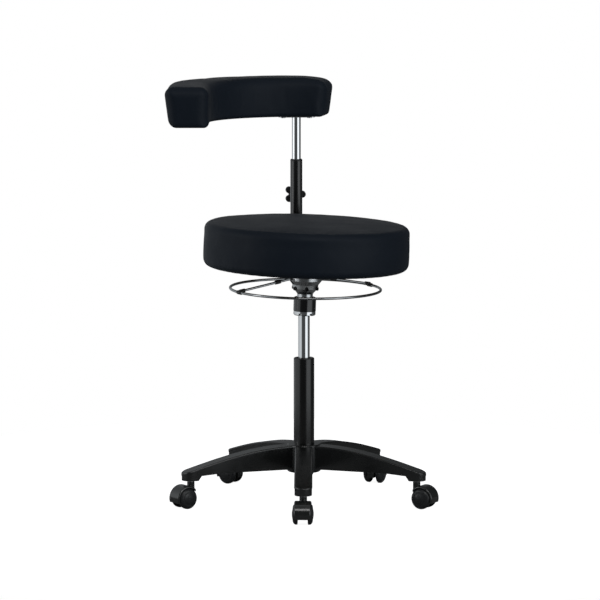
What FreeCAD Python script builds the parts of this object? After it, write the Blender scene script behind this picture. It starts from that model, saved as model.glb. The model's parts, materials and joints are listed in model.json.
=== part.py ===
"""Clinic stool with a round seat, a curved torso support, a release ring and five twin-wheel casters.

Millimetres. The origin is on the swivel axis at the floor, +Z is up and the front arm of the base points to -Y.
"""
import FreeCAD, Part

import math
import os

V = FreeCAD.Vector
UP = V(0, 0, 1)
FIT = 0.03  # radial clearance of turning and sliding fits

# Star base
ARM_ANGLES = {"front": 269.6, "left": 197.6, "right": 341.6, "rear_left": 125.6, "rear_right": 53.6}
ARM_TOP = [(30, 139), (132, 130.5), (218, 111.5), (309, 85)]  # radius, height along the arm's ridge
ARM_UNDERSIDE = [(30, 82), (212, 82), (264, 78), (272, 66.5), (312, 66.5)]
ARM_HALF_WIDTH = 21.5
ARM_TIP = 309
ARM_CAP = 7
ARM_LIP = 1  # how far the cap stands proud of the side walls
ARM_WALL = 4
ARM_RIBS = [85, 130, 175, 220]
HUB_R = 41
HUB_LOW, HUB_TOP = 74, 141.5
CASTER_CIRCLE = 286

# Casters
TRAIL_ANGLES = {"front": 267, "left": 217, "right": 330, "rear_left": 147, "rear_right": 64}
WHEEL_R = 25
CASTER_TRAIL = 20
WHEEL_INNER, WHEEL_OUTER = 11.6, 25.7  # distance of a wheel's faces from the caster's middle
HOOD_HALF_WIDTH = 20
HOOD_INNER_R, HOOD_OUTER_R = 26.6, 31
NECK_R = 9
NECK_TOP = 63
STEM_R = 5.5
STEM_TOP = 87
AXLE_R = 4

# Gas lift
COLUMN_R = 25
COLUMN_WALL = 2.5
COLUMN_LOW, COLUMN_TOP = 66, 350
COLUMN_TAPER_TOP = 138
COLUMN_FOOT_R = 22.6
GAS_R = 14
GAS_LOW = 200
GAS_TOP = 535
GAS_TOP_R = 13.3
GAS_TAPER_LOW = 500
ROD_R = 5
ROD_TOP = 330
VALVE_R = 3
VALVE_TOP = 541.5

# Under the seat
PLATE_LOW, PLATE_TOP = 570, 573
SLEEVE_R = 27.2
SLEEVE_LOW, SLEEVE_TOP = 466, 500
COLLAR_LOW = 456
HUB_SCREW_Z = 522
SPOKE_ANGLE = 30
YOKE_Z = 545.05
YOKE_R = 3
YOKE_KNEE = 45  # the cross rod is level this far out, then slopes down to the ring
RING_R = 182
RING_WIRE_R = 3.2
RING_Z = 520
YOKE_FOOT_Z = RING_Z + 2.4
RING_ROLL = 0.9  # the ring hangs this far out of level in its slot, lower on +X
RING_PITCH = 0.6  # and this far, higher at the back
RING_SHIFT = 4.6  # and this far off centre, along its cross rod

# Seat
SEAT_R = 249.5
SEAT_LOW, SEAT_EDGE, SEAT_CROWN = 571.5, 678.5, 689
SEAT_TOP_ROUND, SEAT_LOW_ROUND = 18, 16
SEAT_ROLL = 1.75  # the seat and all that carries it lean this far, lower on +X
LEAN_Z = 420  # height of the point on the axis that they lean about
VINYL = 1.5
BOARD_R = 230
BOARD_TOP = 585

# Torso support
BACK_TURN = 3.9  # the rear post stands this far round from +Y
POST_REACH = 276
POST_R, POST_BORE = 15, 13
POST_LOW, POST_TOP = 540, 807
TORSO_ROD_R = 11
TORSO_ROD_LOW = 650
KNOB_Z = 719
KNOB_R = 27
KNOB_TURN = 270  # where one of its five lobes points
PAD_LOW, PAD_TOP = 919.5, 1018
PAD_INNER, PAD_OUTER = 224, 333
PAD_END_ANGLE = 76
PAD_TIP = 168  # how far the straight part runs forward of the axis
PAD_TOP_ROUND, PAD_LOW_ROUND = 22, 12
PAD_CORNER = 26


# ---------------------------------------------------------------- building blocks

def cylinder(radius, low, high, x=0, y=0):
    return Part.makeCylinder(radius, high - low, V(x, y, low))


def tube(outer, inner, low, high, x=0, y=0):
    return cylinder(outer, low, high, x, y).cut(cylinder(inner, low - 1, high + 1, x, y))


def block(x, y, z):
    """A box from three (low, high) pairs."""
    return Part.makeBox(x[1] - x[0], y[1] - y[0], z[1] - z[0], V(x[0], y[0], z[0]))


def bend(center, radius, start, end):
    """An arc step for outline(): the point half way and the end point of an arc, in degrees."""
    middle = math.radians((start + end) / 2)
    end = math.radians(end)
    return tuple((center[0] + radius * math.cos(a), center[1] + radius * math.sin(a)) for a in (middle, end))


def outline(start, *steps):
    """A closed face in the XZ plane. A step is a point, or a (through, end) pair of points for an arc."""
    here = V(start[0], 0, start[1])
    first = here
    edges = []
    for step in steps:
        if isinstance(step[0], tuple):
            through, there = (V(p[0], 0, p[1]) for p in step)
            edges.append(Part.Arc(here, through, there).toShape())
        else:
            there = V(step[0], 0, step[1])
            edges.append(Part.makeLine(here, there))
        here = there
    edges.append(Part.makeLine(here, first))
    return Part.Face(Part.Wire(edges))


def dome(radius, rim, top):
    """A dome step for outline(): from the rim's edge up to the axis, on a sphere centred on the axis."""
    rise = top - rim
    sphere = (radius ** 2 + rise ** 2) / (2 * rise)
    half = top - sphere + math.sqrt(sphere ** 2 - radius ** 2 / 4)
    return (radius / 2, half), (0, top)


def turned(start, *steps):
    """A solid of revolution about Z from an outline in radius and height."""
    return outline(start, *steps).revolve(V(0, 0, 0), UP, 360)


def placed(shape, turn=0, x=0, y=0, z=0):
    copy = shape.copy()
    copy.rotate(V(0, 0, 0), UP, turn)
    copy.translate(V(x, y, z))
    return copy


def around(shape, count, start=0):
    return [placed(shape, start + 360 * i / count) for i in range(count)]


def rolled(shape, angle, height):
    """Tips a shape about the Y direction at a height, so that it is lower on +X."""
    copy = shape.copy()
    copy.rotate(V(0, 0, height), V(0, 1, 0), angle)
    return copy


def on_seat(shape):
    """Puts a shape that is drawn level onto the seat's plane."""
    return rolled(shape, SEAT_ROLL, LEAN_Z)


def joined(shapes):
    return shapes[0].multiFuse(shapes[1:]).removeSplitter()


def without(shape, tools):
    for tool in tools:
        shape = shape.cut(tool)
    return shape


def lying_along_y(shape):
    """Turns a shape made along Z so that its +Z points to +Y."""
    copy = shape.copy()
    copy.rotate(V(0, 0, 0), V(1, 0, 0), -90)
    return copy


def lying_along_x(shape):
    """Turns a shape made along Z so that its +Z points to +X."""
    copy = shape.copy()
    copy.rotate(V(0, 0, 0), V(0, 1, 0), 90)
    return copy


# ---------------------------------------------------------------- star base

def arm_plan(inset):
    """The arm seen from above, pulled in by inset, as a tall solid with a round tip."""
    half = ARM_HALF_WIDTH - inset
    center = ARM_TIP - ARM_HALF_WIDTH
    straight = block((20, center), (-half, half), (50, 160))
    return joined([straight, cylinder(half, 50, 160, center)])


def arm_side(top_drop, bottom_rise):
    """The arm seen from the side, between its ridge less top_drop and its underside plus bottom_rise."""
    ridge = Part.BSplineCurve()
    ridge.interpolate([V(r, 0, z - top_drop) for r, z in ARM_TOP])
    low = [V(r, 0, z + bottom_rise) for r, z in ARM_UNDERSIDE]
    low[-1].x = ARM_TIP
    start, end = V(ARM_TOP[0][0], 0, ARM_TOP[0][1] - top_drop), V(ARM_TIP, 0, ARM_TOP[-1][1] - top_drop)
    edges = [ridge.toShape(), Part.makeLine(end, low[-1])]
    edges += [Part.makeLine(a, b) for a, b in zip(reversed(low), list(reversed(low))[1:])]
    edges.append(Part.makeLine(low[0], start))
    face = Part.Face(Part.Wire(edges))
    face.translate(V(0, -30, 0))
    return face.extrude(V(0, 60, 0))


def arm_cap():
    whole = arm_plan(0).common(arm_side(0, 0))
    cap = whole.cut(arm_side(ARM_CAP, -30))
    cap = max(cap.Solids, key=lambda s: s.Volume)
    ridge = max(sorted(cap.Faces, key=lambda f: f.Area)[-2:], key=lambda f: f.CenterOfMass.z)
    edges = [e for e in ridge.Edges if e.BoundBox.XMax > 40]
    return cap.makeFillet(3, edges)


def arm():
    walls = arm_plan(ARM_LIP).common(arm_side(ARM_CAP - 1, 0))
    hollow = arm_plan(ARM_LIP + ARM_WALL).common(arm_side(ARM_CAP, -30))
    skirt = walls.cut(hollow)
    room = arm_plan(ARM_LIP + ARM_WALL - 1).common(arm_side(ARM_CAP - 1, 3))
    ribs = [block((r - 1.5, r + 1.5), (-30, 30), (50, 160)) for r in ARM_RIBS]
    ribs.append(block((30, 262), (-1.5, 1.5), (50, 160)))
    ribs = [rib.common(room) for rib in ribs]
    boss = cylinder(12, ARM_UNDERSIDE[-1][1], 150, CASTER_CIRCLE).common(arm_side(ARM_CAP - 1, -5))
    return joined([arm_cap(), skirt, boss] + ribs)


def column_shape(grow):
    """The outside of the gas lift's column, grown by a clearance."""
    top, foot = COLUMN_R + grow, COLUMN_FOOT_R + grow
    return turned((0, COLUMN_LOW), (foot, COLUMN_LOW), (top, COLUMN_TAPER_TOP), (top, COLUMN_TOP), (0, COLUMN_TOP))


def hub_ring():
    return tube(36, 32, HUB_LOW, HUB_LOW + 12)


def star_base():
    hub = turned(
        (0, HUB_LOW), (HUB_R - 2, HUB_LOW), (HUB_R, HUB_LOW + 2), (HUB_R, HUB_TOP - 4),
        bend((HUB_R - 4, HUB_TOP - 4), 4, 0, 90), (0, HUB_TOP),
    )
    one_arm = arm()
    arms = [placed(one_arm, angle) for angle in ARM_ANGLES.values()]
    base = joined([hub] + arms)
    core = cylinder(HUB_R - 3, HUB_LOW - 20, HUB_LOW)
    sockets = [
        placed(cylinder(STEM_R + 0.1, 60, STEM_TOP - 4, CASTER_CIRCLE), angle) for angle in ARM_ANGLES.values()
    ]
    return without(base, [column_shape(FIT), cylinder(30, 50, COLUMN_LOW + 1), core, hub_ring()] + sockets)


# ---------------------------------------------------------------- gas lift

def column_tube():
    bore = turned(
        (0, COLUMN_LOW + 6), (COLUMN_FOOT_R - COLUMN_WALL, COLUMN_LOW + 6),
        (COLUMN_R - COLUMN_WALL, COLUMN_TAPER_TOP), (COLUMN_R - COLUMN_WALL, COLUMN_TOP + 1), (0, COLUMN_TOP + 1),
    )
    return without(column_shape(0), [bore, cylinder(ROD_R + FIT, 50, 80)])


def column_guide():
    outer = COLUMN_R - COLUMN_WALL
    return turned(
        (GAS_R + FIT, 250), (outer, 250), (outer, COLUMN_TOP), (COLUMN_R - 0.4, COLUMN_TOP),
        bend((COLUMN_R - 2.4, COLUMN_TOP), 2, 0, 90), (GAS_R + 3, COLUMN_TOP + 2), (GAS_R + FIT, COLUMN_TOP),
    )


def piston_rod():
    """The rod stands on the thrust bearing by its collar and hangs in the column's floor by its clip groove."""
    low = COLUMN_LOW - 6
    groove = COLUMN_LOW - 2.5
    return turned(
        (0, low), (ROD_R, low), (ROD_R, groove), (ROD_R - 1, groove), (ROD_R - 1, groove + 2),
        (ROD_R, groove + 2), (ROD_R, 80), (8, 80), (8, 83), (ROD_R, 83), (ROD_R, ROD_TOP - 12),
        (ROD_R - 1, ROD_TOP - 12), (ROD_R - 1, ROD_TOP), (0, ROD_TOP),
    )


def retaining_clip():
    groove = COLUMN_LOW - 2.5
    ring = tube(8.5, ROD_R - 1 + FIT, groove + 0.2, groove + 1.8)
    return ring.cut(block((0, 12), (-2, 2), (50, 80)))


def thrust_bearing():
    low = COLUMN_LOW + 6
    washers = [tube(14, ROD_R + FIT, z, z + 2) for z in (low, low + 6)]
    cage = tube(12.5, 6.5, low + 3.2, low + 4.8)
    balls = around(Part.makeSphere(2, V(9.5, 0, low + 4)), 8)
    cage = without(cage, around(Part.makeSphere(2.05, V(9.5, 0, low + 4)), 8))
    return Part.makeCompound(washers + [cage] + balls)


def rubber_buffer():
    return turned(
        (ROD_R + FIT, 83), (12, 83), (12, 90), (10.5, 91.5), (12, 93), (12, 98), (10, 100), (ROD_R + FIT, 100),
    )


def piston_head():
    """Piston with a seal groove, running inside the gas tube."""
    r = GAS_R - 1.5 - 0.05
    return turned(
        (ROD_R - 1, ROD_TOP - 12), (r, ROD_TOP - 12), (r, ROD_TOP - 7.5), (r - 1.5, ROD_TOP - 7.5),
        (r - 1.5, ROD_TOP - 4.5), (r, ROD_TOP - 4.5), (r, ROD_TOP), (ROD_R - 1, ROD_TOP),
    )


def gas_tube():
    inside = cylinder(GAS_R - 1.5, GAS_LOW - 1, GAS_TAPER_LOW)
    return without(gas_tube_shape(), [inside, cylinder(VALVE_R + FIT, GAS_TAPER_LOW - 1, GAS_TOP + 1)])


def gas_gland():
    """Seal and guide that closes the gas tube round the piston rod."""
    return tube(GAS_R - 1.5, ROD_R + FIT, GAS_LOW, GAS_LOW + 15)


def valve_pin():
    return turned(
        (0, 510), (VALVE_R, 510), (VALVE_R, VALVE_TOP - 1), (VALVE_R - 1, VALVE_TOP), (0, VALVE_TOP),
    )


# ---------------------------------------------------------------- under the seat

def gas_tube_shape(grow=0):
    """The outside of the gas tube, which its neighbours fit over."""
    return turned(
        (0, GAS_LOW), (GAS_R + grow, GAS_LOW), (GAS_R + grow, GAS_TAPER_LOW), (GAS_TOP_R + grow, GAS_TOP), (0, GAS_TOP),
    )


def taper_sleeve():
    sleeve = turned(
        (0, SLEEVE_LOW), (SLEEVE_R - 1, SLEEVE_LOW), (SLEEVE_R, SLEEVE_LOW + 1),
        (SLEEVE_R, SLEEVE_TOP - 2), (SLEEVE_R - 2, SLEEVE_TOP), (0, SLEEVE_TOP),
    )
    return on_seat(sleeve).cut(gas_tube_shape())


def notched_collar():
    collar = turned(
        (0, COLLAR_LOW), (SLEEVE_R - 2.5, COLLAR_LOW), (SLEEVE_R - 0.5, COLLAR_LOW + 2),
        (SLEEVE_R - 0.5, SLEEVE_LOW), (0, SLEEVE_LOW),
    )
    notch = block((SLEEVE_R - 6, SLEEVE_R + 2), (-4, 4), (COLLAR_LOW - 1, COLLAR_LOW + 6))
    return on_seat(without(collar, around(notch, 6, 7))).cut(gas_tube_shape())


def seat_hub():
    """Conical casting between the gas tube and the seat plate, slotted for the release ring's yoke."""
    body = turned(
        (0, SLEEVE_TOP), (19, SLEEVE_TOP), (19, 508), (22, 512), (30, 521), (32, 531), (40, 541),
        (40, 556), bend((48, 556), 8, 180, 90), (62, 564), (62, PLATE_LOW), (20, PLATE_LOW), (20, GAS_TOP + 1),
        (0, GAS_TOP + 1),
    )
    slot = block((-60, 60), (-YOKE_R - 1, YOKE_R + 1), (GAS_TOP - 2, YOKE_Z + YOKE_R + 0.7))
    pocket = lying_along_x(cylinder(4.6, 26, 40))
    pocket.translate(V(0, 0, HUB_SCREW_Z))
    hole = lying_along_x(cylinder(2.5, 18, 30))
    hole.translate(V(0, 0, HUB_SCREW_Z))
    body = on_seat(without(body, around(pocket, 6, 277) + around(hole, 6, 277)))
    return without(body, [gas_tube_shape(0.02), cylinder(14.5, GAS_TOP - 1, GAS_TOP + 5), placed(slot, SPOKE_ANGLE)])


def hub_screws():
    head = cylinder(4.5, 26.05, 33.5).cut(Part.makeCylinder(2.2, 4, V(0, 0, 31)))
    screw = joined([head, cylinder(2.5, 18, 26.5)])
    screw = lying_along_x(screw)
    screw.translate(V(0, 0, HUB_SCREW_Z))
    return on_seat(Part.makeCompound(around(screw, 6, 277)))


def facing_back(shape):
    """Turns a shape drawn along +X so that it lies along the rear post's direction."""
    return placed(shape, 90 + BACK_TURN)


PLATE_SCREWS = [(x, y) for x in (-85, 85) for y in (-78, 78)]
BAR_SCREWS = [84, 124]


def screw_up(head_r, head_low, head_top, shank_r, top, x, y):
    """A screw that goes up from its head, with a round socket in the head."""
    head = cylinder(head_r, head_low, head_top, x, y).cut(cylinder(shank_r * 0.7, head_low - 1, head_low + 2, x, y))
    return joined([head, cylinder(shank_r, head_top - 0.5, top, x, y)])


def seat_plate():
    plate = block((-100, 100), (-95, 145), (PLATE_LOW, PLATE_TOP))
    corners = [e for e in plate.Edges if abs(e.BoundBox.ZLength - (PLATE_TOP - PLATE_LOW)) < 0.01]
    plate = plate.makeFillet(20, corners)
    holes = [cylinder(3.1, 560, 580, x, y) for x, y in PLATE_SCREWS]
    holes += [facing_back(cylinder(3.6, 560, 580, d)) for d in BAR_SCREWS]
    return on_seat(without(plate, holes))


def plate_screws():
    return on_seat(Part.makeCompound([screw_up(6, PLATE_LOW - 4, PLATE_LOW, 3, 583, x, y) for x, y in PLATE_SCREWS]))


def back_bar():
    """Flat bar bolted under the plate, ending in a collar that the rear post is welded into."""
    low, high = PLATE_LOW - 8, PLATE_LOW
    bar = block((66, POST_REACH), (-22, 22), (low, high))
    gusset = block((190, POST_REACH - 15), (-3, 3), (low - 16, low + 1))
    gusset = gusset.cut(lying_along_y(cylinder(60, -20, 20, 185, -(low - 66))))
    holes = [cylinder(3.6, 550, 580, d) for d in BAR_SCREWS]
    bar = on_seat(facing_back(without(joined([bar, gusset]), holes)))
    collar = facing_back(cylinder(20, POST_LOW, 600, POST_REACH))
    return joined([bar, collar]).cut(facing_back(cylinder(POST_R, POST_LOW - 5, 610, POST_REACH)))


def back_bar_screws():
    low = PLATE_LOW - 8
    screws = [facing_back(screw_up(7, low - 5, low, 3.5, 583, d, 0)) for d in BAR_SCREWS]
    return on_seat(Part.makeCompound(screws))


# ---------------------------------------------------------------- release ring

def on_ring(shape):
    """Puts a shape that is drawn level and centred where the ring hangs."""
    turn = math.radians(SPOKE_ANGLE)
    hung = rolled(shape, RING_ROLL, YOKE_Z)
    hung.rotate(V(0, 0, YOKE_Z), V(1, 0, 0), RING_PITCH)
    hung.translate(V(RING_SHIFT * math.cos(turn), RING_SHIFT * math.sin(turn), 0))
    return hung


def level_ring():
    return Part.makeTorus(RING_R, RING_WIRE_R, V(0, 0, RING_Z))


def release_ring():
    return on_ring(level_ring())


def level_yoke():
    """The cross rod: flat through the hub's slot, then down on each side to the ring."""
    knee, foot = V(YOKE_KNEE, 0, YOKE_Z), V(RING_R, 0, YOKE_FOOT_Z)
    middle = lying_along_x(cylinder(YOKE_R, -YOKE_KNEE, YOKE_KNEE))
    middle.translate(V(0, 0, YOKE_Z))
    pieces = [middle]
    for side in (1, -1):
        a, b = V(side * knee.x, 0, knee.z), V(side * foot.x, 0, foot.z)
        pieces += [Part.makeSphere(YOKE_R, a), Part.makeCylinder(YOKE_R, (b - a).Length, a, b - a)]
    return placed(joined(pieces), SPOKE_ANGLE).cut(level_ring())


def ring_yoke():
    return on_ring(level_yoke())


def ring_clips():
    """Plastic clips over the joints of rod and ring, and a sleeve part way down each side of the rod."""
    slope = math.degrees(math.atan2(YOKE_Z - YOKE_FOOT_Z, RING_R - YOKE_KNEE))
    clip = lying_along_y(cylinder(RING_WIRE_R + 1.6, -8, 8))
    clip.translate(V(RING_R, 0, RING_Z))
    reach = lying_along_x(cylinder(YOKE_R + 1.6, -14, 0))
    reach.rotate(V(0, 0, 0), V(0, 1, 0), slope)
    reach.translate(V(RING_R, 0, YOKE_FOOT_Z))
    sleeve = lying_along_x(cylinder(YOKE_R + 1.8, 26, 40))
    sleeve.rotate(V(0, 0, 0), V(0, 1, 0), slope)
    sleeve.translate(V(YOKE_KNEE, 0, YOKE_Z))
    pieces = []
    for side in (0, 180):
        pieces += [placed(joined([clip, reach]), SPOKE_ANGLE + side), placed(sleeve, SPOKE_ANGLE + side)]
    return on_ring(Part.makeCompound([without(p, [level_ring(), level_yoke()]) for p in pieces]))


# ---------------------------------------------------------------- seat

def cushion(inset):
    """The upholstered seat's outer form, pulled in by inset."""
    r, low, edge, crown = SEAT_R - inset, SEAT_LOW + inset, SEAT_EDGE - inset, SEAT_CROWN - inset
    top, foot = SEAT_TOP_ROUND - inset, SEAT_LOW_ROUND - inset
    rim = r - top
    return turned(
        (0, low), (r - foot, low), bend((r - foot, low + foot), foot, -90, 0), (r, edge - top),
        bend((rim, edge - top), top, 0, 90), dome(rim, edge, crown),
    )


def seat_cover():
    opening = cylinder(208, SEAT_LOW - 1, SEAT_LOW + VINYL + 1)
    return on_seat(without(cushion(0), [cushion(VINYL), opening]))


def seat_board():
    board = cylinder(BOARD_R, PLATE_TOP, BOARD_TOP)
    holes = [cylinder(3.0, 570, 584, x, y) for x, y in PLATE_SCREWS]
    holes += [facing_back(cylinder(3.5, 570, 584, d)) for d in BAR_SCREWS]
    return on_seat(without(board, holes))


def seat_foam():
    return on_seat(cushion(VINYL + 0.1).cut(cylinder(BOARD_R + 0.05, PLATE_TOP - 2, BOARD_TOP + 0.05)))


# ---------------------------------------------------------------- torso support

def rear_post():
    wall_hole = lying_along_x(cylinder(5, 10, 20))
    wall_hole.translate(V(POST_REACH, 0, KNOB_Z))
    post = tube(POST_R, POST_BORE, POST_LOW, POST_TOP, POST_REACH)
    return facing_back(post.cut(wall_hole))


def post_bush():
    bore = TORSO_ROD_R + FIT
    bush = turned(
        (bore, POST_TOP - 35), (POST_BORE, POST_TOP - 35), (POST_BORE, POST_TOP), (POST_R, POST_TOP),
        (POST_R, POST_TOP + 3), (POST_R - 1.5, POST_TOP + 5), (bore, POST_TOP + 5),
    )
    return facing_back(placed(bush, x=POST_REACH))


def clamp_boss():
    """Threaded boss welded behind the post for the clamp screw."""
    boss = lying_along_x(tube(9, 5, POST_BORE + 0.5, 30))
    boss.translate(V(POST_REACH, 0, KNOB_Z))
    return facing_back(boss.cut(cylinder(POST_R, POST_LOW, POST_TOP, POST_REACH)))


def along_knob(shape):
    """Lays a shape made along Z onto the clamp's axis, with Z = 0 at the post's centre line."""
    lying = lying_along_x(shape)
    lying.translate(V(POST_REACH, 0, KNOB_Z))
    return facing_back(lying)


def clamp_tip():
    return along_knob(cylinder(4.9, TORSO_ROD_R + 0.05, POST_R - 0.5))


def clamp_screw():
    return along_knob(joined([cylinder(5 - FIT, POST_R - 0.45, 52), cylinder(3.5, 50, 56)]))


def clamp_knob():
    """Five-lobed hand knob, dished behind, pressed on the screw's end."""
    body = turned(
        (0, 36), (8, 36), (9, 41), (13, 44.5), (16, 48), (16, 58), bend((13, 58), 3, 0, 90), (0, 62),
    )
    lobe = cylinder(8.5, 43, 60, KNOB_R - 8.5)
    lobe = lobe.makeFillet(2, [e for e in lobe.Edges if isinstance(e.Curve, Part.Circle)])
    knob = joined([body] + around(lobe, 5, KNOB_TURN))
    return along_knob(without(knob, [cylinder(5 - FIT, 30, 52), cylinder(3.5, 50, 56)]))


def pad(inset):
    """The torso support's outer form: an arc round the swivel axis that runs out straight on the left."""
    inner, outer = PAD_INNER + inset, PAD_OUTER - inset
    corner = PAD_CORNER - inset
    tip = -PAD_TIP + inset
    end = PAD_END_ANGLE + math.degrees(inset / ((inner + outer) / 2))

    def polar(radius, angle):
        return V(radius * math.cos(math.radians(angle)), radius * math.sin(math.radians(angle)), 0)

    def end_corner(radius, center_radius):
        """Round corner between the end line and an arc: on the arc, half way, on the line."""
        lean = math.degrees(math.asin(corner / center_radius))
        center = polar(center_radius, end + lean)
        on_arc = polar(radius, end + lean)
        on_line = polar(math.sqrt(center_radius ** 2 - corner ** 2), end)
        return on_arc, half_way(center, on_arc, on_line), on_line

    def half_way(center, a, b):
        return center + ((a - center) + (b - center)).normalize() * corner

    def tip_corner(x, toward):
        center = V(x + toward * corner, tip + corner, 0)
        side, front = V(x, tip + corner, 0), V(x + toward * corner, tip, 0)
        return side, half_way(center, side, front), front

    outer_arc, outer_mid, outer_line = end_corner(outer, outer - corner)
    inner_arc, inner_mid, inner_line = end_corner(inner, inner + corner)
    outer_side, outer_tip_mid, outer_front = tip_corner(-outer, 1)
    inner_side, inner_tip_mid, inner_front = tip_corner(-inner, -1)
    edges = [
        Part.Arc(outer_arc, polar(outer, 135), V(-outer, 0, 0)).toShape(),
        Part.makeLine(V(-outer, 0, 0), outer_side),
        Part.Arc(outer_side, outer_tip_mid, outer_front).toShape(),
        Part.makeLine(outer_front, inner_front),
        Part.Arc(inner_front, inner_tip_mid, inner_side).toShape(),
        Part.makeLine(inner_side, V(-inner, 0, 0)),
        Part.Arc(V(-inner, 0, 0), polar(inner, 135), inner_arc).toShape(),
        Part.Arc(inner_arc, inner_mid, inner_line).toShape(),
        Part.makeLine(inner_line, outer_line),
        Part.Arc(outer_line, outer_mid, outer_arc).toShape(),
    ]
    low, high = PAD_LOW + inset, PAD_TOP - inset
    form = Part.Face(Part.Wire(edges))
    form.translate(V(0, 0, low))
    form = form.extrude(V(0, 0, high - low))
    top = [e for e in form.Edges if e.BoundBox.ZMin > high - 0.1]
    form = form.makeFillet(PAD_TOP_ROUND - inset, top)
    low_edges = [e for e in form.Edges if e.BoundBox.ZMax < low + 0.1]
    return form.makeFillet(PAD_LOW_ROUND - inset, low_edges)


FLANGE_SCREWS = [-33, 33]
FLANGE = 3
CORE_LOW, CORE_TOP = PAD_LOW + VINYL + 0.1, PAD_LOW + 14
CORE_INSET = 28


def flange_holes(radius, low, high):
    return [facing_back(cylinder(radius, low, high, POST_REACH, side)) for side in FLANGE_SCREWS]


def arm_core():
    inner, outer = PAD_INNER + CORE_INSET, PAD_OUTER - CORE_INSET
    arc = tube(outer, inner, CORE_LOW, CORE_TOP).common(quadrant(CORE_LOW, CORE_TOP))
    straight = block((-outer, -inner), (-PAD_TIP + CORE_INSET, 0), (CORE_LOW, CORE_TOP))
    return without(joined([arc, straight]), flange_holes(3, CORE_LOW - 1, CORE_TOP - 2))


def quadrant(low, high):
    """The wedge of plan that the curved part of the board fills, from near the pad's end to the left side."""
    start = math.radians(PAD_END_ANGLE + 7)
    far = 500
    corners = [V(0, 0, low), V(far * math.cos(start), far * math.sin(start), low), V(-far, far, low), V(-far, 0, low)]
    return Part.Face(Part.makePolygon(corners + corners[:1])).extrude(V(0, 0, high - low))


def pad_cover():
    return without(pad(0), [pad(VINYL)] + flange_holes(3.2, PAD_LOW - 1, PAD_LOW + VINYL + 0.5))


def pad_foam():
    return without(pad(VINYL + 0.1), [arm_core()] + flange_holes(3.2, PAD_LOW, CORE_TOP - 2))


def torso_rod():
    rod = cylinder(TORSO_ROD_R, TORSO_ROD_LOW, PAD_LOW - FLANGE, POST_REACH)
    rod = rod.makeChamfer(1, [e for e in rod.Edges if e.BoundBox.ZMax < TORSO_ROD_LOW + 0.1])
    return facing_back(rod.cut(cylinder(3, TORSO_ROD_LOW - 1, TORSO_ROD_LOW + 14, POST_REACH)))


def rod_foot():
    """Plastic foot that carries the rod's lower end and slides in the post."""
    foot = turned(
        (0, TORSO_ROD_LOW - 10), (POST_BORE - 0.05, TORSO_ROD_LOW - 10), (POST_BORE - 0.05, TORSO_ROD_LOW - 0.05),
        (3 - FIT, TORSO_ROD_LOW - 0.05), (3 - FIT, TORSO_ROD_LOW + 12), (0, TORSO_ROD_LOW + 12),
    )
    return facing_back(placed(foot, x=POST_REACH))


def rod_flange():
    plate = block((POST_REACH - 24, POST_REACH + 24), (-45, 45), (PAD_LOW - FLANGE, PAD_LOW - 0.05))
    corners = [e for e in plate.Edges if abs(e.BoundBox.ZLength - FLANGE + 0.05) < 0.01]
    plate = plate.makeFillet(10, corners)
    return without(facing_back(plate), flange_holes(3.1, PAD_LOW - 8, PAD_LOW + 2))


def flange_screws():
    screw = screw_up(6, PAD_LOW - FLANGE - 2.8, PAD_LOW - FLANGE, 3, CORE_TOP - 2, 0, 0)
    return Part.makeCompound([facing_back(placed(screw, x=POST_REACH, y=side)) for side in FLANGE_SCREWS])


# ---------------------------------------------------------------- casters

def about_axle(shape):
    """Turns a shape made along Z onto a caster's axle."""
    lying = lying_along_y(shape)
    lying.translate(V(CASTER_TRAIL, 0, WHEEL_R))
    return lying


def wheel(side):
    """One nylon wheel and its snap-in cap, on the +Y side of the caster or, with side -1, on the other."""
    tread = WHEEL_R
    disc = turned(
        (AXLE_R + 0.05, WHEEL_INNER), (8, WHEEL_INNER), (8, 15), (21, 15), (21, 12.4), (tread - 1, 12.4),
        bend((tread - 1, 13.4), 1, -90, 0), (tread, 17.3), ((21.8, 21.6), (15.1, 23.6)),
        (15.1, 21.4), (AXLE_R + 0.05, 21.4),
    )
    cap = turned((0, 21.45), (15, 21.45), (15, 23.3), dome(15, 23.3, WHEEL_OUTER))
    pair = Part.makeCompound([about_axle(disc), about_axle(cap)])
    return pair if side > 0 else pair.mirror(V(0, 0, 0), V(0, 1, 0))


def caster_hood():
    """Arched guard over both wheels, the web between them and the neck that holds the stem."""
    half = HOOD_HALF_WIDTH
    arch = about_axle(tube(HOOD_OUTER_R, HOOD_INNER_R, -half, half))
    arch = arch.makeFillet(3.5, [e for e in arch.Edges if abs(e.Length - 2 * math.pi * HOOD_OUTER_R) < 0.1])
    low_side = block((CASTER_TRAIL, 60), (-30, 30), (-10, 16))
    front_cut = block((-40, -1), (-30, 30), (-10, 80))
    under = block((-40, CASTER_TRAIL), (-30, 30), (-10, 38))
    arch = without(arch, [low_side, front_cut, under])
    web = about_axle(cylinder(HOOD_INNER_R + 1, -8.5, 8.5)).common(block((-40, 60), (-30, 30), (16, 80)))
    knuckle = about_axle(cylinder(8, -11.3, 11.3))
    neck = cylinder(NECK_R, 24, NECK_TOP)
    neck = neck.makeFillet(1.5, [e for e in neck.Edges if e.BoundBox.ZMin > NECK_TOP - 0.1])
    hood = joined([arch, web, knuckle, neck])
    return without(hood, [about_axle(cylinder(AXLE_R, -30, 30)), cylinder(STEM_R, 32, 80)])


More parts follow.
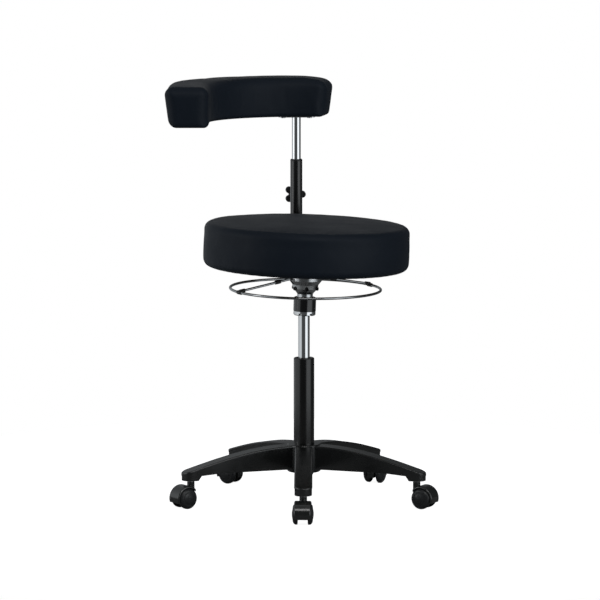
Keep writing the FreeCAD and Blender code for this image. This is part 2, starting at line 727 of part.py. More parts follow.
def caster_metal():
    """Steel axle, and steel stem with its shoulder and the ring that holds it in the socket."""
    shoulder = ARM_UNDERSIDE[-1][1] - 0.1
    stem = turned(
        (0, 32), (STEM_R, 32), (STEM_R, NECK_TOP), (8, NECK_TOP), (8, shoulder), (STEM_R, shoulder),
        (STEM_R, 74), (STEM_R - 0.8, 74), (STEM_R - 0.8, 78), (STEM_R, 78), (STEM_R, STEM_TOP - 6),
        (STEM_R - 1.5, STEM_TOP - 4.5), (0, STEM_TOP - 4.5),
    )
    ring = tube(STEM_R + 0.05, STEM_R - 0.75, 74.2, 77.8)
    return Part.makeCompound([stem, ring, about_axle(cylinder(AXLE_R, -21, 21))])


# ---------------------------------------------------------------- the assembly

def caster_parts():
    hood, metal = caster_hood(), caster_metal()
    wheels = {"left": wheel(1), "right": wheel(-1)}
    made = {}
    for name, angle in ARM_ANGLES.items():
        x = CASTER_CIRCLE * math.cos(math.radians(angle))
        y = CASTER_CIRCLE * math.sin(math.radians(angle))
        turn = TRAIL_ANGLES[name]
        made[f"caster_{name}_hood"] = placed(hood, turn, x, y)
        made[f"caster_{name}_stem_and_axle"] = placed(metal, turn, x, y)
        for side, shape in wheels.items():
            made[f"caster_{name}_{side}_wheel"] = placed(shape, turn, x, y)
    return made


def assembly():
    single = [
        star_base, hub_ring, column_tube, column_guide, piston_rod, retaining_clip, thrust_bearing,
        rubber_buffer, piston_head, gas_tube, gas_gland, valve_pin, taper_sleeve, notched_collar, seat_hub,
        hub_screws, seat_plate, plate_screws, back_bar, back_bar_screws, release_ring, ring_yoke, ring_clips,
        seat_cover, seat_board, seat_foam, rear_post, post_bush, clamp_boss, clamp_tip, clamp_screw,
        clamp_knob, pad_cover, pad_foam, arm_core, torso_rod, rod_foot, rod_flange, flange_screws,
    ]
    parts = {make.__name__: make() for make in single}
    parts.update(caster_parts())
    return parts


os.makedirs("parts", exist_ok=True)
for node, shape in assembly().items():
    if not shape.isValid():
        print("not valid:", node)
    shape.exportStep(f"parts/{node}.step")
    print(f"{node}: {len(shape.Solids)} solids, {shape.Volume / 1000:.1f} cm3")
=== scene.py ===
import json
import math

import bmesh
import bpy
import numpy as np
from mathutils import Matrix, Vector, noise
from mathutils.kdtree import KDTree


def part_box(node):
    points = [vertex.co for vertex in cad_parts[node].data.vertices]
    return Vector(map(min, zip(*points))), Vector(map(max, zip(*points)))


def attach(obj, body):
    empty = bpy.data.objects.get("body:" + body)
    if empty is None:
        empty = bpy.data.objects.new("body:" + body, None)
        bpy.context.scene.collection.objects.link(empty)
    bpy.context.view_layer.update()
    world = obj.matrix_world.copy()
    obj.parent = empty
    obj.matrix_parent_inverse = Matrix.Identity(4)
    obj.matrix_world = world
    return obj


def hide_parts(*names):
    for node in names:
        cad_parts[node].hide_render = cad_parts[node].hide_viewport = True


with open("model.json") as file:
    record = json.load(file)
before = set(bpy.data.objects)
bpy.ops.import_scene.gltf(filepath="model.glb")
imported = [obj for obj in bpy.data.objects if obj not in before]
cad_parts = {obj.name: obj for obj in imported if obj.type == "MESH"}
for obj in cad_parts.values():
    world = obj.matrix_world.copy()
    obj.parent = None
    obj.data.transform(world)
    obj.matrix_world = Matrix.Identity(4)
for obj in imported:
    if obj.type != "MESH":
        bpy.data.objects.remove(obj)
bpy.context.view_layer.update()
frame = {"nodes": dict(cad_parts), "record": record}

NODES = frame["nodes"]
MM = 0.001


# ---------------------------------------------------------------- camera, light and floor

CAMERA_DISTANCE = 8.0
CAMERA_HEIGHT = 1.496
CAMERA_PITCH = 7.15  # degrees below the horizon
CAMERA_SIDE = -0.0096
LENS = 200


def make_camera():
    data = bpy.data.cameras.new("camera")
    data.lens = LENS
    data.sensor_width = 36
    data.clip_end = 100
    camera = bpy.data.objects.new("camera", data)
    camera.location = (CAMERA_SIDE, -CAMERA_DISTANCE, CAMERA_HEIGHT)
    camera.rotation_euler = (math.radians(90 - CAMERA_PITCH), 0, 0)
    bpy.context.scene.collection.objects.link(camera)
    bpy.context.scene.camera = camera


def area_light(name, place, target, size, power):
    data = bpy.data.lights.new(name, "AREA")
    data.shape = "RECTANGLE"
    data.size, data.size_y = size
    data.energy = power
    light = bpy.data.objects.new(name, data)
    light.location = place
    light.rotation_euler = (Vector(target) - Vector(place)).to_track_quat("-Z", "Y").to_euler()
    bpy.context.scene.collection.objects.link(light)


# Brightness of the studio's walls by azimuth from the camera's side, in degrees to its right
WALLS = [
    (-180, 0.14), (-155, 0.40), (-118, 0.55), (-52, 0.70), (-44, 0.10), (-25, 0.07), (12, 0.06), (24, 0.10),
    (31, 1.15), (72, 1.05), (88, 0.10), (120, 0.05), (165, 0.06), (180, 0.14),
]
# Share of that brightness by the height of the direction, from straight down at -1 to straight up at 1
HEIGHTS = [(-1, 0.12), (-0.40, 0.25), (-0.26, 1.0), (0.25, 0.95), (0.55, 0.6), (0.8, 0.2), (1, 0.3)]
TINT = (0.975, 1.0, 1.015)


def ramp(nodes, stops, low, high):
    """A colour ramp through (value, grey) stops, with values from low to high mapped to its length."""
    node = nodes.new("ShaderNodeValToRGB")
    elements = node.color_ramp.elements
    places = [(value - low) / (high - low) for value, _ in stops]
    while len(elements) < len(stops):
        elements.new(0.5)
    for element, place, (_, grey) in zip(elements, places, stops):
        element.position = place
        element.color = (grey * TINT[0], grey * TINT[1], grey * TINT[2], 1)
    return node


def make_world():
    """White behind the object; in its reflections, a dim studio with a lit wall on each side."""
    world = bpy.data.worlds.new("studio")
    bpy.context.scene.world = world
    world.use_nodes = True
    nodes, links = world.node_tree.nodes, world.node_tree.links
    nodes.clear()
    coords = nodes.new("ShaderNodeTexCoord")
    split = nodes.new("ShaderNodeSeparateXYZ")
    links.new(coords.outputs["Generated"], split.inputs[0])
    toward = nodes.new("ShaderNodeMath")
    toward.operation = "MULTIPLY"
    toward.inputs[1].default_value = -1
    links.new(split.outputs["Y"], toward.inputs[0])
    azimuth = nodes.new("ShaderNodeMath")
    azimuth.operation = "ARCTAN2"
    links.new(split.outputs["X"], azimuth.inputs[0])
    links.new(toward.outputs[0], azimuth.inputs[1])
    shares = []
    for value, stops, low, high in (
        (azimuth.outputs[0], WALLS, -180, 180),
        (split.outputs["Z"], HEIGHTS, -1, 1),
    ):
        spread = nodes.new("ShaderNodeMapRange")
        reach = math.pi if high == 180 else 1
        spread.inputs["From Min"].default_value = -reach
        spread.inputs["From Max"].default_value = reach
        links.new(value, spread.inputs["Value"])
        colors = ramp(nodes, stops, low, high)
        links.new(spread.outputs[0], colors.inputs["Fac"])
        shares.append(colors.outputs["Color"])
    both = nodes.new("ShaderNodeMix")
    both.data_type = "RGBA"
    both.blend_type = "MULTIPLY"
    both.inputs[0].default_value = 1
    links.new(shares[0], both.inputs[6])
    links.new(shares[1], both.inputs[7])
    room = nodes.new("ShaderNodeBackground")
    links.new(both.outputs[2], room.inputs["Color"])
    white = nodes.new("ShaderNodeBackground")
    white.inputs["Color"].default_value = (1, 1, 1, 1)
    seen = nodes.new("ShaderNodeLightPath")
    mix = nodes.new("ShaderNodeMixShader")
    out = nodes.new("ShaderNodeOutputWorld")
    links.new(seen.outputs["Is Camera Ray"], mix.inputs[0])
    links.new(room.outputs[0], mix.inputs[1])
    links.new(white.outputs[0], mix.inputs[2])
    links.new(mix.outputs[0], out.inputs[0])


FLOOR_R = 1.25
FLOOR_GLOW, FLOOR_SEEN = 0.93, 0.8  # what the camera sees: own light, and brightness as a surface
FLOOR_BOUNCE = 0.30  # brightness as a surface to everything else


def make_floor():
    """A pale floor that shows white with a faint contact shadow, and throws little light back up."""
    mesh = bpy.data.meshes.new("floor")
    shape = bmesh.new()
    bmesh.ops.create_circle(shape, cap_ends=True, segments=96, radius=FLOOR_R)
    shape.to_mesh(mesh)
    shape.free()
    floor = bpy.data.objects.new("floor", mesh)
    bpy.context.scene.collection.objects.link(floor)
    material = bpy.data.materials.new("floor")
    material.use_nodes = True
    nodes, links = material.node_tree.nodes, material.node_tree.links
    shader = nodes["Principled BSDF"]
    shader.inputs["Roughness"].default_value = 0.9
    shader.inputs["Specular IOR Level"].default_value = 0.0
    shader.inputs["Emission Color"].default_value = (1, 1, 1, 1)
    seen = nodes.new("ShaderNodeLightPath").outputs["Is Camera Ray"]
    for low, high, into in ((0, FLOOR_GLOW, "Emission Strength"), (FLOOR_BOUNCE, FLOOR_SEEN, "Base Color")):
        spread = nodes.new("ShaderNodeMapRange")
        spread.inputs["To Min"].default_value = low
        spread.inputs["To Max"].default_value = high
        links.new(seen, spread.inputs["Value"])
        links.new(spread.outputs[0], shader.inputs[into])
    material.cycles.emission_sampling = "NONE"
    mesh.materials.append(material)


# Soft lights: name, place, what each is aimed at, size in metres, power in watts
LIGHTS = [
    ("overhead", (0.2, -0.4, 3.2), (0, 0, 0.4), (3.2, 3.2), 6),
    ("front_box", (0.3, -2.7, 2.7), (0, 0, 0.5), (1.8, 0.9), 16),
    ("left_box", (-2.9, -0.7, 1.3), (0, 0, 0.6), (0.9, 2.2), 9),
    ("right_box", (2.4, -1.9, 1.3), (0, 0, 0.5), (0.7, 2.0), 3.5),
    ("rear_rim", (0.0, 2.8, 2.0), (0, 0, 0.1), (2.0, 0.7), 1.6),
]


def make_studio():
    make_world()
    make_floor()
    for light in LIGHTS:
        area_light(*light)
    bpy.context.scene.view_settings.view_transform = "Standard"


# ---------------------------------------------------------------- materials

class Paint:
    """A Principled material with helpers for procedural detail in object space."""

    def __init__(self, name, color, roughness, metallic=0.0, specular=0.5, coat=0.0, coat_roughness=0.1):
        self.material = bpy.data.materials.new(name)
        self.material.use_nodes = True
        self.nodes = self.material.node_tree.nodes
        self.links = self.material.node_tree.links
        self.shader = self.nodes["Principled BSDF"]
        self.color, self.roughness = color, roughness
        self.shader.inputs["Base Color"].default_value = (*color, 1)
        self.shader.inputs["Roughness"].default_value = roughness
        self.shader.inputs["Metallic"].default_value = metallic
        self.shader.inputs["Specular IOR Level"].default_value = specular
        self.shader.inputs["Coat Weight"].default_value = coat
        self.shader.inputs["Coat Roughness"].default_value = coat_roughness
        self.coords = self.nodes.new("ShaderNodeTexCoord").outputs["Object"]
        self.height = None

    def noise(self, scale, detail=4, stretch=None, distortion=0.0):
        """A noise texture's value; scale is in features per metre, stretch squeezes it along an axis."""
        node = self.nodes.new("ShaderNodeTexNoise")
        node.inputs["Scale"].default_value = scale
        node.inputs["Detail"].default_value = detail
        node.inputs["Distortion"].default_value = distortion
        self.links.new(self._mapped(stretch), node.inputs["Vector"])
        return node.outputs["Fac"]

    def cells(self, scale, feature="DISTANCE_TO_EDGE"):
        node = self.nodes.new("ShaderNodeTexVoronoi")
        node.feature = feature
        node.inputs["Scale"].default_value = scale
        self.links.new(self.coords, node.inputs["Vector"])
        return node.outputs["Distance"]

    def _mapped(self, stretch):
        if stretch is None:
            return self.coords
        node = self.nodes.new("ShaderNodeMapping")
        node.inputs["Scale"].default_value = stretch
        self.links.new(self.coords, node.inputs["Vector"])
        return node.outputs[0]

    def ranged(self, value, low, high, start=0.0, end=1.0):
        """Maps value from start..end to low..high, clamped."""
        node = self.nodes.new("ShaderNodeMapRange")
        node.inputs["From Min"].default_value = start
        node.inputs["From Max"].default_value = end
        node.inputs["To Min"].default_value = low
        node.inputs["To Max"].default_value = high
        self.links.new(value, node.inputs["Value"])
        return node.outputs[0]

    def vary_roughness(self, value, spread, start=0.3, end=0.7):
        low, high = self.roughness - spread, self.roughness + spread
        self.links.new(self.ranged(value, low, high, start, end), self.shader.inputs["Roughness"])
        return self

    def vary_color(self, value, other, start=0.3, end=0.7):
        node = self.nodes.new("ShaderNodeMix")
        node.data_type = "RGBA"
        node.inputs[6].default_value = (*self.color, 1)
        node.inputs[7].default_value = (*other, 1)
        self.links.new(self.ranged(value, 0, 1, start, end), node.inputs[0])
        self.links.new(node.outputs[2], self.shader.inputs["Base Color"])
        return self

    def bump(self, value, depth, strength=1.0):
        """Adds a bump layer; depth is in metres."""
        node = self.nodes.new("ShaderNodeBump")
        node.inputs["Distance"].default_value = depth
        node.inputs["Strength"].default_value = strength
        self.links.new(value, node.inputs["Height"])
        if self.height is not None:
            self.links.new(self.height, node.inputs["Normal"])
        self.height = node.outputs[0]
        self.links.new(self.height, self.shader.inputs["Normal"])
        return self


def vinyl():
    """Upholstery vinyl: pebbled grain about a millimetre across, soft sheen, faint blue-black tint."""
    paint = Paint("black_vinyl", (0.0095, 0.0142, 0.0222), 0.52, specular=0.13)
    paint.vary_roughness(paint.noise(9, 3), 0.05)
    paint.vary_color(paint.noise(5, 2), (0.0112, 0.0164, 0.0250))
    paint.bump(paint.cells(900), 0.00022, 0.55)
    paint.bump(paint.noise(2600, 2), 0.00008, 0.4)
    paint.bump(paint.noise(38, 3), 0.0006, 0.35)
    paint.shader.inputs["Sheen Weight"].default_value = 0.03
    paint.shader.inputs["Sheen Roughness"].default_value = 0.4
    return paint.material


def nylon():
    """Glass-filled nylon: fine moulded texture with a slow, uneven sheen."""
    paint = Paint("nylon_base", (0.0065, 0.0073, 0.0072), 0.22, specular=1.0)
    paint.vary_roughness(paint.noise(14, 4), 0.07)
    paint.vary_color(paint.noise(22, 5), (0.0095, 0.0105, 0.0104))
    paint.bump(paint.noise(1500, 3), 0.00012, 0.5)
    paint.bump(paint.noise(60, 2), 0.0004, 0.12)
    return paint.material


def satin_plastic(name="black_plastic"):
    paint = Paint(name, (0.012, 0.0122, 0.0128), 0.38)
    paint.vary_roughness(paint.noise(40, 4), 0.06)
    paint.bump(paint.noise(1800, 2), 0.00008, 0.35)
    return paint.material


def caster_plastic():
    """Polished black hood, with a little dust in the gloss."""
    paint = Paint("caster_plastic", (0.014, 0.0160, 0.0155), 0.20, specular=0.8, coat=0.5, coat_roughness=0.1)
    paint.vary_roughness(paint.noise(90, 5), 0.07)
    paint.bump(paint.noise(300, 2), 0.00006, 0.25)
    return paint.material


def wheel_nylon():
    paint = Paint("wheel_nylon", (0.021, 0.0225, 0.024), 0.32)
    paint.vary_roughness(paint.noise(120, 5), 0.10)
    paint.vary_color(paint.noise(70, 4), (0.031, 0.033, 0.035), 0.45, 0.8)
    paint.bump(paint.noise(700, 3), 0.00008, 0.35)
    return paint.material


def sleeve_gloss():
    paint = Paint("sleeve_gloss", (0.006, 0.006, 0.007), 0.13, coat=0.6, coat_roughness=0.06)
    paint.vary_roughness(paint.noise(120, 4), 0.04)
    paint.bump(paint.noise(90, 2), 0.0001, 0.1)
    return paint.material


def black_paint():
    """Powder coat: slight orange peel under a semi-gloss."""
    paint = Paint("black_paint", (0.0032, 0.0033, 0.0032), 0.22, coat=0.5, coat_roughness=0.17)
    paint.vary_roughness(paint.noise(30, 4), 0.05)
    paint.bump(paint.noise(420, 2), 0.00012, 0.3)
    paint.bump(paint.noise(1700, 2), 0.00005, 0.3)
    return paint.material


def chrome(name="chrome_plate", color=(0.80, 0.81, 0.82), roughness=0.07):
    """Chrome plate with faint polishing lines along the part."""
    paint = Paint(name, color, roughness, metallic=1.0)
    paint.vary_roughness(paint.noise(60, 4, (1, 1, 0.06)), 0.03)
    paint.bump(paint.noise(1600, 2, (1, 1, 0.04)), 0.00002, 0.25)
    return paint.material


def cast_zinc():
    paint = Paint("cast_zinc", (0.62, 0.63, 0.64), 0.24, metallic=1.0)
    paint.vary_roughness(paint.noise(80, 5), 0.07)
    paint.vary_color(paint.noise(45, 4), (0.48, 0.49, 0.50), 0.4, 0.75)
    paint.bump(paint.noise(700, 3), 0.00012, 0.35)
    return paint.material


def bright_steel(name="steel_plain", color=(0.55, 0.55, 0.56)):
    """Turned or drawn steel, brushed round the part."""
    paint = Paint(name, color, 0.30, metallic=1.0)
    paint.vary_roughness(paint.noise(200, 4, (0.2, 0.2, 1)), 0.08)
    paint.bump(paint.noise(2200, 2, (0.1, 0.1, 1)), 0.00004, 0.35)
    return paint.material


def black_oxide():
    paint = Paint("black_oxide", (0.018, 0.018, 0.019), 0.34, metallic=0.6)
    paint.vary_roughness(paint.noise(150, 4), 0.1)
    paint.bump(paint.noise(1200, 2), 0.00006, 0.4)
    return paint.material


def brass():
    paint = Paint("brass_tip", (0.62, 0.46, 0.18), 0.28, metallic=1.0)
    paint.vary_roughness(paint.noise(200, 3), 0.08)
    return paint.material


def rubber():
    paint = Paint("buffer_rubber", (0.012, 0.012, 0.012), 0.75, specular=0.3)
    paint.bump(paint.noise(900, 3), 0.0001, 0.5)
    return paint.material


def plywood():
    """Birch plywood: long grain along Y, with darker growth lines."""
    paint = Paint("plywood", (0.36, 0.235, 0.12), 0.62, specular=0.3)
    grain = paint.noise(60, 6, (1, 0.06, 1), 0.4)
    paint.vary_color(grain, (0.22, 0.135, 0.065), 0.42, 0.68)
    paint.bump(grain, 0.0003, 0.35)
    return paint.material


def foam():
    paint = Paint("foam", (0.62, 0.55, 0.34), 0.9, specular=0.1)
    paint.bump(paint.cells(700), 0.0004, 0.8)
    return paint.material


MATERIALS = {
    "nylon_base": nylon(), "black_plastic": satin_plastic(), "caster_plastic": caster_plastic(),
    "wheel_nylon": wheel_nylon(), "sleeve_gloss": sleeve_gloss(), "black_paint": black_paint(),
    "black_oxide": black_oxide(), "steel_plain": bright_steel(), "chrome_plate": chrome(),
    "dark_chrome": chrome("dark_chrome", (0.42, 0.43, 0.44), 0.12), "cast_zinc": cast_zinc(),
    "zinc_plate": bright_steel("zinc_plate", (0.66, 0.66, 0.67)), "brass_tip": brass(),
    "buffer_rubber": rubber(), "black_vinyl": vinyl(), "foam": foam(), "plywood": plywood(),
}


def paint_cad_nodes():
    """Gives every carried-over node the material of its slot."""
    slots = {part["node"]: part["material_slot"] for part in frame["record"]["subparts"]}
    for name, node in NODES.items():
        node.data.materials.clear()
        node.data.materials.append(MATERIALS[slots[name]])


make_camera()
make_studio()
paint_cad_nodes()


# ---------------------------------------------------------------- upholstery

SEED = 7
CLOTH_FRAMES = 20
VOXEL = 5 * MM
PRESSURE = 4.0
NEAR = 6  # cloth points that a finished point takes its move from


def plane_of(node):
    """A matrix that carries a level drawing to a flat node's top face: origin at its centre, Z its normal."""
    mesh = NODES[node].data
    normal = Vector((0, 0, 0))
    for face in mesh.polygons:
        if face.normal.z > 0.9:
            normal += face.normal * face.area
    turn = Vector((0, 0, 1)).rotation_difference(normal.normalized()).to_matrix()
    back = turn.inverted()
    local = np.array([back @ v.co for v in mesh.vertices])
    low, high = local.min(0), local.max(0)
    center = turn @ Vector(((low[0] + high[0]) / 2, (low[1] + high[1]) / 2, high[2]))
    return Matrix.Translation(center) @ turn.to_4x4()


def between(start, end, steps):
    """Evenly spaced values after start, up to and including end."""
    return [start + (end - start) * i / steps for i in range(1, steps + 1)]


def arc_points(center, radius, start, end, steps):
    angles = [math.radians(a) for a in between(start, end, steps)]
    return [(center[0] + radius * math.cos(a), center[1] + radius * math.sin(a)) for a in angles]


def ring_mesh(name, rings, first, last):
    """A closed mesh of quads through rings of points, with a fan to one point at each end."""
    count = len(rings[0])
    points = np.concatenate([np.concatenate(rings), [first, last]])
    faces = []
    for i in range(len(rings) - 1):
        for j in range(count):
            k = (j + 1) % count
            faces.append((i * count + j, (i + 1) * count + j, (i + 1) * count + k, i * count + k))
    top, bottom = len(points) - 2, len(points) - 1
    end = (len(rings) - 1) * count
    for j in range(count):
        k = (j + 1) % count
        faces.append((top, j, k))
        faces.append((bottom, end + k, end + j))
    mesh = bpy.data.meshes.new(name)
    mesh.from_pydata(points.tolist(), [], faces)
    shape = bmesh.new()
    shape.from_mesh(mesh)
    bmesh.ops.recalc_face_normals(shape, faces=shape.faces)
    shape.to_mesh(mesh)
    shape.free()
    return mesh


def read(mesh, what):
    flat = np.zeros(len(mesh.vertices) * 3)
    mesh.vertices.foreach_get(what, flat)
    return flat.reshape(-1, 3)


def put(mesh, points):
    mesh.vertices.foreach_set("co", points.ravel())
    mesh.update()


def blown_up(form, held, cap):
    """Blows a closed form up as cloth, with some of it held, and returns a finder of how far a place moves."""
    piece = bpy.data.objects.new("cloth_form", form)
    bpy.context.scene.collection.objects.link(piece)
    remesh = piece.modifiers.new("remesh", "REMESH")
    remesh.mode = "VOXEL"
    remesh.voxel_size = VOXEL
    graph = bpy.context.evaluated_depsgraph_get()
    mesh = bpy.data.meshes.new_from_object(piece.evaluated_get(graph))
    piece.modifiers.clear()
    piece.data = mesh
    rest = read(mesh, "co")
    group = piece.vertex_groups.new(name="held")
    group.add([int(i) for i in np.nonzero(held(rest))[0]], 1.0, "REPLACE")
    cloth = piece.modifiers.new("cloth", "CLOTH")
    cloth.settings.use_pressure = True
    cloth.settings.uniform_pressure_force = PRESSURE
    cloth.settings.effector_weights.gravity = 0
    cloth.settings.vertex_group_mass = "held"
    cloth.point_cache.frame_start = 1
    cloth.point_cache.frame_end = CLOTH_FRAMES
    for step in range(1, CLOTH_FRAMES + 1):
        bpy.context.scene.frame_set(step)
    graph = bpy.context.evaluated_depsgraph_get()
    blown = bpy.data.meshes.new_from_object(piece.evaluated_get(graph))
    moves = read(blown, "co") - rest
    bpy.data.objects.remove(piece)
    bpy.context.scene.frame_set(1)
    length = np.linalg.norm(moves, axis=1)[:, None]
    moves *= np.minimum(1, cap / np.maximum(length, 1e-9))
    tree = KDTree(len(rest))
    for i, place in enumerate(rest):
        tree.insert(place, i)
    tree.balance()
    return tree, moves


def follow(points, blown, loose):
    """Moves points as the cloth near them moved, by how loose each one is."""
    tree, moves = blown
    result = points.copy()
    for i, place in enumerate(points):
        if loose[i] == 0:
            continue
        found = tree.find_n(place, NEAR)
        weight = np.array([1 / (distance + VOXEL / 4) ** 2 for _, _, distance in found])
        move = (moves[[index for _, index, _ in found]] * weight[:, None]).sum(0) / weight.sum()
        result[i] += move * loose[i]
    return result


def smooth_step(value, start, end):
    t = np.clip((value - start) / (end - start), 0, 1)
    return t * t * (3 - 2 * t)


def unevenness(points, size, offset):
    """Smooth noise from -1 to 1 at each point, in features of one size."""
    return np.array([noise.noise(Vector(p) / size + Vector(offset)) for p in points])


def upholstery(name, mesh, body, nodes):
    piece = bpy.data.objects.new(name, mesh)
    bpy.context.scene.collection.objects.link(piece)
    mesh.materials.append(MATERIALS["black_vinyl"])
    mesh.shade_smooth()
    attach(piece, body)
    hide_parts(*nodes)
    return piece


# Seat: radii, and heights above the board's top face
SEAT_R = 249.5 * MM
SEAT_LOW, SEAT_EDGE, SEAT_CROWN = -13.5 * MM, 93.5 * MM, 104 * MM
SEAT_TOP_ROUND, SEAT_LOW_ROUND = 18 * MM, 18 * MM
BOARD_R, BOARD_LOW = 230 * MM, -12 * MM
FOAM_GAP = 0.3 * MM  # between the board's top and the foam
BOARD_GAPS = (0.1 * MM, 0.4 * MM)  # between the board and the vinyl, below it and round its edge
WRAP_R = 208 * MM
BAR_ANGLE = 93.9  # where the bar to the rear post runs under the seat
VINYL = 1.5 * MM
SEAT_SEGMENTS = 360
PLEATS = 66
PLEAT_DEPTH = 1.3 * MM
PLEAT_RINGS = 10  # rings of points up the seat's lower edge that the pleats reach
PLEAT_REST = 0.15  # share of a pleat's depth that is left where the bar presses on it
BAR_CLEAR = (0.10, 0.17)  # radians from the bar at which pleats begin and are whole
CREEP, CREEP_HEIGHT = 0.55 * MM, 34 * MM  # how far folds draw the side in, and how far up they reach
SEAT_LUMP = 0.7 * MM
SEAT_SWELL = 0.5 * MM
SEAT_CAP = 5 * MM
SEAT_YIELD = 0.25  # share of the cloth's move that the finished seat takes


def seat_outside(inset):
    """Radius and height down the outside of the seat's section, from near the crown to the underside."""
    r, low = SEAT_R - inset, SEAT_LOW
    edge, crown = SEAT_EDGE - inset, SEAT_CROWN - inset
    rim = r - SEAT_TOP_ROUND
    rise = crown - edge
    sphere = (rim ** 2 + rise ** 2) / (2 * rise)
    top = [(x, crown - sphere + math.sqrt(sphere ** 2 - x ** 2)) for x in between(0, rim, 36)]
    top += arc_points((rim, edge - SEAT_TOP_ROUND), SEAT_TOP_ROUND, 90, 0, 14)
    side_low = low + SEAT_LOW_ROUND
    side = [(r, z) for z in between(edge - SEAT_TOP_ROUND, side_low, 24)]
    return top + side + arc_points((r - SEAT_LOW_ROUND, side_low), SEAT_LOW_ROUND, 0, -90, 12)


def turned_rings(profile, segments):
    angles = np.arange(segments) * 2 * math.pi / segments
    return [np.stack([r * np.cos(angles), r * np.sin(angles), np.full(segments, z)], 1) for r, z in profile]


def pleats(angle, random):
    """Uneven folds round the seat, from 0 in a fold's valley to 1 on its back."""
    widths = random.uniform(0.6, 1.4, PLEATS)
    edges = np.concatenate([[0], np.cumsum(widths)]) * 2 * math.pi / widths.sum()
    heights = random.uniform(0.45, 1.0, PLEATS)
    turn = np.mod(angle, 2 * math.pi)
    which = np.clip(np.searchsorted(edges, turn, side="right") - 1, 0, PLEATS - 1)
    along = (turn - edges[which]) / (edges[which + 1] - edges[which])
    return heights[which] * np.sin(np.pi * along) ** 0.7


def seat_upholstery():
    """The seat's foam and vinyl in one closed form.

    It runs over the foam, down the side and, pleated, under the board.
    """
    outside = seat_outside(SEAT_SWELL)
    below, beside = BOARD_LOW - BOARD_GAPS[0], BOARD_R + BOARD_GAPS[1]
    wrap = [(r, SEAT_LOW) for r in between(outside[-1][0], WRAP_R, 8)]
    inside = [
        (WRAP_R, SEAT_LOW + VINYL / 2), (WRAP_R, below), (WRAP_R + 3 * MM, below),
        (BOARD_R - 2 * MM, below), (beside, below),
        (beside, BOARD_LOW + 2 * MM), (beside, -2 * MM), (beside, FOAM_GAP),
        (BOARD_R - 3 * MM, FOAM_GAP), (BOARD_R / 2, FOAM_GAP),
    ]
    profile = outside + wrap + inside
    rings = turned_rings(profile, SEAT_SEGMENTS)
    first, last = (0, 0, SEAT_CROWN - SEAT_SWELL), (0, 0, FOAM_GAP)
    mesh = ring_mesh("seat_upholstery", rings, first, last)
    points = read(mesh, "co")
    heights = np.repeat([z for _, z in profile], SEAT_SEGMENTS)
    ring = np.repeat(np.arange(len(profile)), SEAT_SEGMENTS)
    ring = np.append(ring, [0, len(profile) - 1])
    heights = np.append(heights, [first[2], last[2]])
    on_outside = ring < len(outside)
    loose = np.where(on_outside, smooth_step(heights, SEAT_LOW + 1 * MM, SEAT_LOW + SEAT_LOW_ROUND), 0)
    coarse = seat_outside(SEAT_SWELL)
    form = ring_mesh("seat_form", turned_rings(coarse, 96), first, (0, 0, SEAT_LOW))
    blown = blown_up(form, lambda p: p[:, 2] < SEAT_LOW + 3 * MM, SEAT_CAP)
    points = follow(points, blown, loose * SEAT_YIELD)
    put(mesh, points)
    random = np.random.default_rng(SEED)
    angle = np.arctan2(points[:, 1], points[:, 0])
    radius = np.hypot(points[:, 0], points[:, 1])
    fold = pleats(angle, random)
    under = (ring >= len(outside) - PLEAT_RINGS) & (ring < len(outside) + len(wrap))
    depth = np.where(under, smooth_step(-radius, -SEAT_R, -WRAP_R), 0) * PLEAT_DEPTH
    away_from_bar = smooth_step(np.abs(angle - math.radians(BAR_ANGLE)), *BAR_CLEAR)
    points[:, 2] -= fold * depth * (PLEAT_REST + (1 - PLEAT_REST) * away_from_bar)
    creep = np.where(on_outside, smooth_step(-heights, -(SEAT_LOW + CREEP_HEIGHT), -SEAT_LOW), 0)
    points[:, :2] *= (1 - (CREEP * creep * (1 - fold) / np.maximum(radius, 0.1)))[:, None]
    lumps = 0.7 * unevenness(points, 90 * MM, (3, 1, 4)) + 0.3 * unevenness(points, 30 * MM, (1, 5, 9))
    points += read(mesh, "normal") * (SEAT_LUMP * lumps * loose)[:, None]
    matrix = np.array(plane_of("seat_board"))
    put(mesh, points @ matrix[:3, :3].T + matrix[:3, 3])
    return upholstery("seat_upholstery", mesh, "seat", ["seat_cover", "seat_foam"])


STAPLES = 64
STAPLE_R = 215 * MM
STAPLE_WIDTH, STAPLE_WIRE = 10 * MM, 0.45 * MM


def wire_into(shape, path, radius, sides=6):
    """Adds a round wire along a path of points to a bmesh."""
    rings = []
    for i, here in enumerate(path):
        ahead = (path[min(i + 1, len(path) - 1)] - path[max(i - 1, 0)]).normalized()
        across = ahead.orthogonal().normalized()
        other = ahead.cross(across)
        angles = [2 * math.pi * k / sides for k in range(sides)]
        spokes = [math.cos(a) * across + math.sin(a) * other for a in angles]
        rings.append([shape.verts.new(here + radius * spoke) for spoke in spokes])
    for a, b in zip(rings, rings[1:]):
        for k in range(sides):
            shape.faces.new((a[k], a[(k + 1) % sides], b[(k + 1) % sides], b[k]))
    shape.faces.new(rings[0][::-1])
    shape.faces.new(rings[-1])


